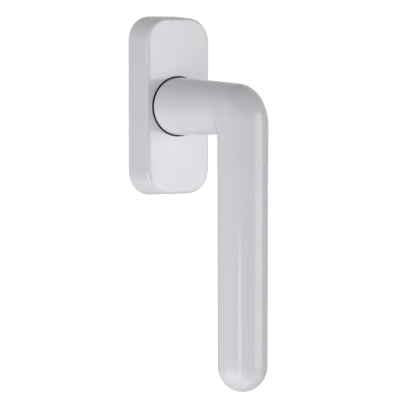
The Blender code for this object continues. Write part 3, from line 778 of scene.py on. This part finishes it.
def make_cover_springs():
    """Strips bowed outwards between two feet."""
    thickness = 0.5 * MM
    for side, sign in (("upper", 1), ("lower", -1)):
        node = f"cover_spring_{side}"
        low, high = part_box(node)
        back, front = forward_of(node)
        edges = sorted((abs(low.z), abs(high.z)))
        foot = edges[0] + thickness / 2
        rise = edges[1] - thickness / 2 - foot
        bm = bmesh.new()
        steps = 24
        rows = []
        for step in range(steps + 1):
            share = step / steps
            forward = back + (front - back) * share
            height = sign * (foot + rise * math.sin(math.pi * share))
            across = (low.x, low.x / 2, 0, high.x / 2, high.x)
            rows.append([bm.verts.new((x, -forward, height)) for x in across])
        for lower, upper in zip(rows, rows[1:]):
            for a, b, c, d in zip(lower, lower[1:], upper[1:], upper):
                bm.faces.new((a, b, c, d))
        strip = object_from(bm, node + "_fine")
        sheet = strip.modifiers.new("sheet", "SOLIDIFY")
        sheet.thickness = thickness
        sheet.offset = 0.0
        freeze(strip)
        round_edges(strip, 0.1 * MM, segments=2, angle=60.0)
        finish_piece(strip, "rose_base", MATERIALS["spring_steel"], [node])


# ---------------------------------------------------------------- screws


def screw_mesh(radius, head_radius, head, tip, thread_start, thread, x, z, steps=48):
    """A pan-head screw: the thread's rows climb along the helix, so that its crest is a clean line."""
    pitch, depth = thread
    bottom, top = head
    shoulder = bottom + 0.35 * (top - bottom)
    shank = radius - depth / 2
    profile = [(0, top)]
    dome_steps = 10
    for step in range(1, dome_steps + 1):
        angle = QUARTER * (1 - step / dome_steps)
        profile.append((head_radius * math.cos(angle), shoulder + (top - shoulder) * math.sin(angle)))
    edge = 0.1 * MM
    profile += [(head_radius, bottom + edge), (head_radius - edge, bottom), (shank + 2 * edge, bottom)]
    profile += [(shank, bottom - 2 * edge), (shank, thread_start)]
    bm = revolve(profile, closed=False, steps=steps, x=x, z=z)
    heights = (1.0, 1.0, 0.66, 0.33, 0.0, 0.0, 0.33, 0.66)
    rows_per_turn = len(heights)
    count = int((thread_start - tip) / pitch * rows_per_turn) + 3 * rows_per_turn
    rows = []
    for row in range(count):
        ring = []
        for step in range(steps):
            turn = TURN * step / steps
            forward = thread_start + 2 * pitch - pitch * (row / rows_per_turn + step / steps)
            clamped = max(tip, min(thread_start, forward))
            crest = radius - depth * (1 - heights[row % rows_per_turn])
            fade = min(1.0, (thread_start - clamped) / (0.6 * pitch))
            cone = 0.55 * radius + (clamped - tip)
            reach = min(shank + (crest - shank) * fade, cone)
            ring.append(bm.verts.new((x + reach * math.cos(turn), -clamped, z + reach * math.sin(turn))))
        rows.append(ring)
    for row in range(count - 1):
        for step in range(steps):
            if step < steps - 1:
                after, column = row, step + 1
            else:
                after, column = row + rows_per_turn, 0
            if after + 1 < count:
                far_side = (rows[after][column], rows[after + 1][column])
                bm.faces.new((rows[row][step], *far_side, rows[row + 1][step]))
    bmesh.ops.remove_doubles(bm, verts=bm.verts, dist=0.002 * MM)
    bmesh.ops.holes_fill(bm, edges=[edge for edge in bm.edges if edge.is_boundary], sides=0)
    return bm


def cross_cutter(name, arm, slot, forward, x, z):
    """A cross for a screw head: its arms narrow towards the bottom."""
    back, front = forward
    cross = box(name, (x - arm, x + arm), forward, (z - slot, z + slot))
    upright = box(f"{name} upright", (x - slot, x + slot), forward, (z - arm, z + arm))
    for piece in (cross, upright):
        for vert in piece.data.vertices:
            if -vert.co.y < (back + front) / 2:
                vert.co.x = x + (vert.co.x - x) * 0.6
                vert.co.z = z + (vert.co.z - z) * 0.6
    carve(cross, [upright], "UNION")
    return cross


def make_screw(node, radius, thread_start, thread):
    x, z = middle(node)
    tip, top = forward_of(node)
    head_radius = half_width(node)
    bottom = HEAD_BOTTOM[node.split("_")[0]]
    bm = screw_mesh(radius, head_radius, (bottom, top), tip, thread_start, thread, x, z)
    screw = object_from(bm, node + "_fine", smooth_angle=40.0)
    recess = (top - 0.6 * (top - bottom), top + 0.3 * MM)
    carve(screw, [cross_cutter(node + " recess", 0.55 * head_radius, 0.13 * head_radius, recess, x, z)])
    finish_piece(screw, "rose_base", MATERIALS["plated_steel"], [node])


def make_screws():
    for side in ("upper", "lower"):
        make_screw(f"fixing_screw_{side}", FIXING_SCREW_RADIUS, 0.0, FIXING_THREAD)
    for node in KEEPER_SCREWS:
        make_screw(node, KEEPER_SCREW_RADIUS, KEEPER_THREAD_START, KEEPER_THREAD)


# ---------------------------------------------------------------- base plate


def make_base_plate():
    low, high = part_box("base_plate")
    tip, depth = forward_of("base_plate")
    plate = rounded_block(
        "base_plate_fine", high.x - low.x, high.z - low.z, (0, depth), PLATE_CORNER, 0.0, PLATE_RIM, 14, 5,
    )
    screws = [middle(f"fixing_screw_{side}")[1] for side in ("upper", "lower")]
    chamfer = 0.7 * MM
    spigots = []
    for z in screws:
        profile = [(0, 2 * MM), (SPIGOT_RADIUS, 2 * MM), (SPIGOT_RADIUS, tip + chamfer),
                   (SPIGOT_RADIUS - chamfer, tip), (0, tip)]
        spigots.append(object_from(revolve(profile, False, 72, 0, z), f"spigot {z:.4f}"))
    carve(plate, spigots, "UNION")
    through = (tip - MM, depth + MM)
    cutters = []
    for z in screws:
        cutters.append(bar(f"screw hole {z:.4f}", SCREW_HOLE_RADIUS, through, 0, z, 48))
        counterbore = (HEAD_BOTTOM["fixing"] - GAP, depth + MM)
        cutters.append(bar(f"counterbore {z:.4f}", COUNTERBORE_RADIUS, counterbore, 0, z, 64))
    cutters.append(bar("rear recess", REAR_RECESS_RADIUS, (-MM, PLATE_FLOOR[0]), steps=80))
    cutters.append(bar("floor bore", HUB_SHAFT_RADIUS + GAP, (PLATE_FLOOR[0] - MM, PLATE_FLOOR[1] + MM)))
    inside = (PLATE_FLOOR[1], depth + MM)
    wide, tall = CHAMBER_WIDTH / 2, CHAMBER_HEIGHT / 2
    cutters.append(box("cam chamber", (-wide, wide), inside, (-tall, tall)))
    for side in ("left", "right"):
        spring_low, spring_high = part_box(f"detent_spring_{side}")
        x = (spring_low.x - GAP, spring_high.x + GAP)
        cutters.append(box(f"spring slot {side}", x, inside, (spring_low.z - GAP, spring_high.z + GAP)))
    keeper_low, keeper_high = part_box("keeper_plate")
    recess = (forward_of("keeper_plate")[0] - GAP, depth + MM)
    size = (keeper_high.x - keeper_low.x + 2 * GAP, keeper_high.z - keeper_low.z + 2 * GAP)
    cutters.append(rounded_block("keeper recess", *size, recess, KEEPER_CORNER + GAP, 0.0, 0.0, 10))
    for node in KEEPER_SCREWS:
        x, z = middle(node)
        cutters.append(bar(node + " pilot", KEEPER_SCREW_RADIUS + GAP, (PILOT_END, depth), x, z, 32))
    half_seat = COVER_SPRING_SEAT_WIDTH / 2
    back, front = forward_of("cover_spring_upper")
    for sign in (1, -1):
        reach = sorted((sign * COVER_SPRING_SEAT_EDGE, sign * 2 * high.z))
        seat = (back - 0.5 * MM, front + 0.5 * MM)
        cutters.append(box(f"cover spring seat {sign}", (-half_seat, half_seat), seat, reach))
        for across in (1, -1):
            x = sorted(across * edge for edge in REAR_POCKET_X)
            z = sorted(sign * edge for edge in REAR_POCKET_Z)
            cutters.append(box(f"rear pocket {sign} {across}", x, (-MM, REAR_POCKET_DEPTH), z, 0.8 * MM))
    carve(plate, cutters)
    round_edges(plate, CAST_EDGE, segments=2)
    finish_piece(plate, "rose_base", MATERIALS["cast_alloy"], ["base_plate"])


def make_mechanism():
    make_rings()
    make_retaining_ring()
    make_hub()
    make_spindle()
    make_cam()
    make_keeper()
    make_detent_springs()
    make_cover_springs()
    make_screws()
    make_base_plate()


# ---------------------------------------------------------------- camera, light and floor


def direction(azimuth, elevation):
    """Unit vector from the object: azimuth 0 is straight in front, 90 is to the right."""
    a, e = math.radians(azimuth), math.radians(elevation)
    return Vector((math.sin(a) * math.cos(e), -math.cos(a) * math.cos(e), math.sin(e)))


def make_camera():
    camera = bpy.data.objects.new("camera", bpy.data.cameras.new("camera"))
    bpy.context.scene.collection.objects.link(camera)
    back = direction(CAMERA_AZIMUTH, CAMERA_ELEVATION)
    turn = back.to_track_quat("Z", "Y")
    right, up = turn @ Vector((1, 0, 0)), turn @ Vector((0, 1, 0))
    camera.rotation_mode = "QUATERNION"
    camera.rotation_quaternion = turn
    camera.location = back * CAMERA_DISTANCE + right * CAMERA_AIM[0] + up * CAMERA_AIM[1]
    camera.data.lens = CAMERA_LENS
    camera.data.sensor_width = CAMERA_SENSOR
    camera.data.clip_start = 0.05
    camera.data.clip_end = 20.0
    bpy.context.scene.camera = camera


# Softboxes: name, azimuth, elevation, width and height in degrees, and stops below the key.
KEY_LEVEL = 3.0
SOFTBOXES = (
    ("key", 45, 5, 40, 35, 0.0),
    ("left_strip", -45, -30, 15, 50, 0.0),
    ("left_side", -85, -35, 55, 45, 1.0),
    ("left_high", -80, 25, 80, 45, 2.0),
    ("right_low", 50, -30, 45, 35, 2.5),
    ("below", -45, -70, 60, 40, 1.5),
    ("top", 0, 75, 45, 40, 2.5),
    ("backdrop", 160, 0, 110, 100, 3.0),
)
SOFTBOX_DISTANCE = 1.0
SOFTBOX_AIM = Vector((0, -35 * MM, -30 * MM))
WORLD_LEVEL = 0.15
FLOOR_DROP = 1 * MM
FLOOR_SIZE = 3.0


def make_light():
    for name, azimuth, elevation, wide, tall, stops in SOFTBOXES:
        light = bpy.data.lights.new(name, "AREA")
        light.shape = "RECTANGLE"
        light.size = 2 * SOFTBOX_DISTANCE * math.tan(math.radians(wide) / 2)
        light.size_y = 2 * SOFTBOX_DISTANCE * math.tan(math.radians(tall) / 2)
        light.energy = KEY_LEVEL * 0.5 ** stops * math.pi * light.size * light.size_y
        lamp = bpy.data.objects.new(name, light)
        bpy.context.scene.collection.objects.link(lamp)
        towards = direction(azimuth, elevation)
        lamp.location = SOFTBOX_AIM + towards * SOFTBOX_DISTANCE
        lamp.rotation_mode = "QUATERNION"
        lamp.rotation_quaternion = towards.to_track_quat("Z", "Y")
        lamp.visible_camera = False


def make_floor():
    """A pale floor under the object, lit by itself and seen by the camera only."""
    bm = bmesh.new()
    place = Matrix.Translation((0, 0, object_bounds()[0].z - FLOOR_DROP))
    bmesh.ops.create_grid(bm, x_segments=1, y_segments=1, size=FLOOR_SIZE / 2, matrix=place)
    floor = object_from(bm, "floor")
    material, _, shader = new_material("floor", (1.0, 1.0, 1.0), 1.0)
    shader.inputs["Emission Color"].default_value = (1.0, 1.0, 1.0, 1.0)
    shader.inputs["Emission Strength"].default_value = 1.0
    floor.data.materials.append(material)
    for rays in ("diffuse", "glossy", "transmission", "shadow"):
        setattr(floor, f"visible_{rays}", False)


def make_world():
    """A grey studio for the light, and plain white where the camera looks past the object."""
    world = bpy.data.worlds.new("studio")
    bpy.context.scene.world = world
    world.use_nodes = True
    tree = world.node_tree
    tree.nodes.clear()
    output = tree.nodes.new("ShaderNodeOutputWorld")
    studio = tree.nodes.new("ShaderNodeBackground")
    studio.inputs["Color"].default_value = (1.0, 1.0, 1.0, 1.0)
    studio.inputs["Strength"].default_value = WORLD_LEVEL
    paper = tree.nodes.new("ShaderNodeBackground")
    paper.inputs["Color"].default_value = (1.0, 1.0, 1.0, 1.0)
    rays = tree.nodes.new("ShaderNodeLightPath")
    choose = tree.nodes.new("ShaderNodeMixShader")
    tree.links.new(rays.outputs["Is Camera Ray"], choose.inputs["Fac"])
    tree.links.new(studio.outputs[0], choose.inputs[1])
    tree.links.new(paper.outputs[0], choose.inputs[2])
    tree.links.new(choose.outputs[0], output.inputs["Surface"])


make_grip()
make_cover()
make_mechanism()
for name, node in frame["nodes"].items():
    if not node.hide_render:
        slot = next(s["material_slot"] for s in frame["record"]["subparts"] if s["node"] == name)
        node.data.materials.clear()
        node.data.materials.append(MATERIALS[slot])
make_camera()
make_light()
make_floor()
make_world()
bpy.context.scene.view_settings.view_transform = "Standard"
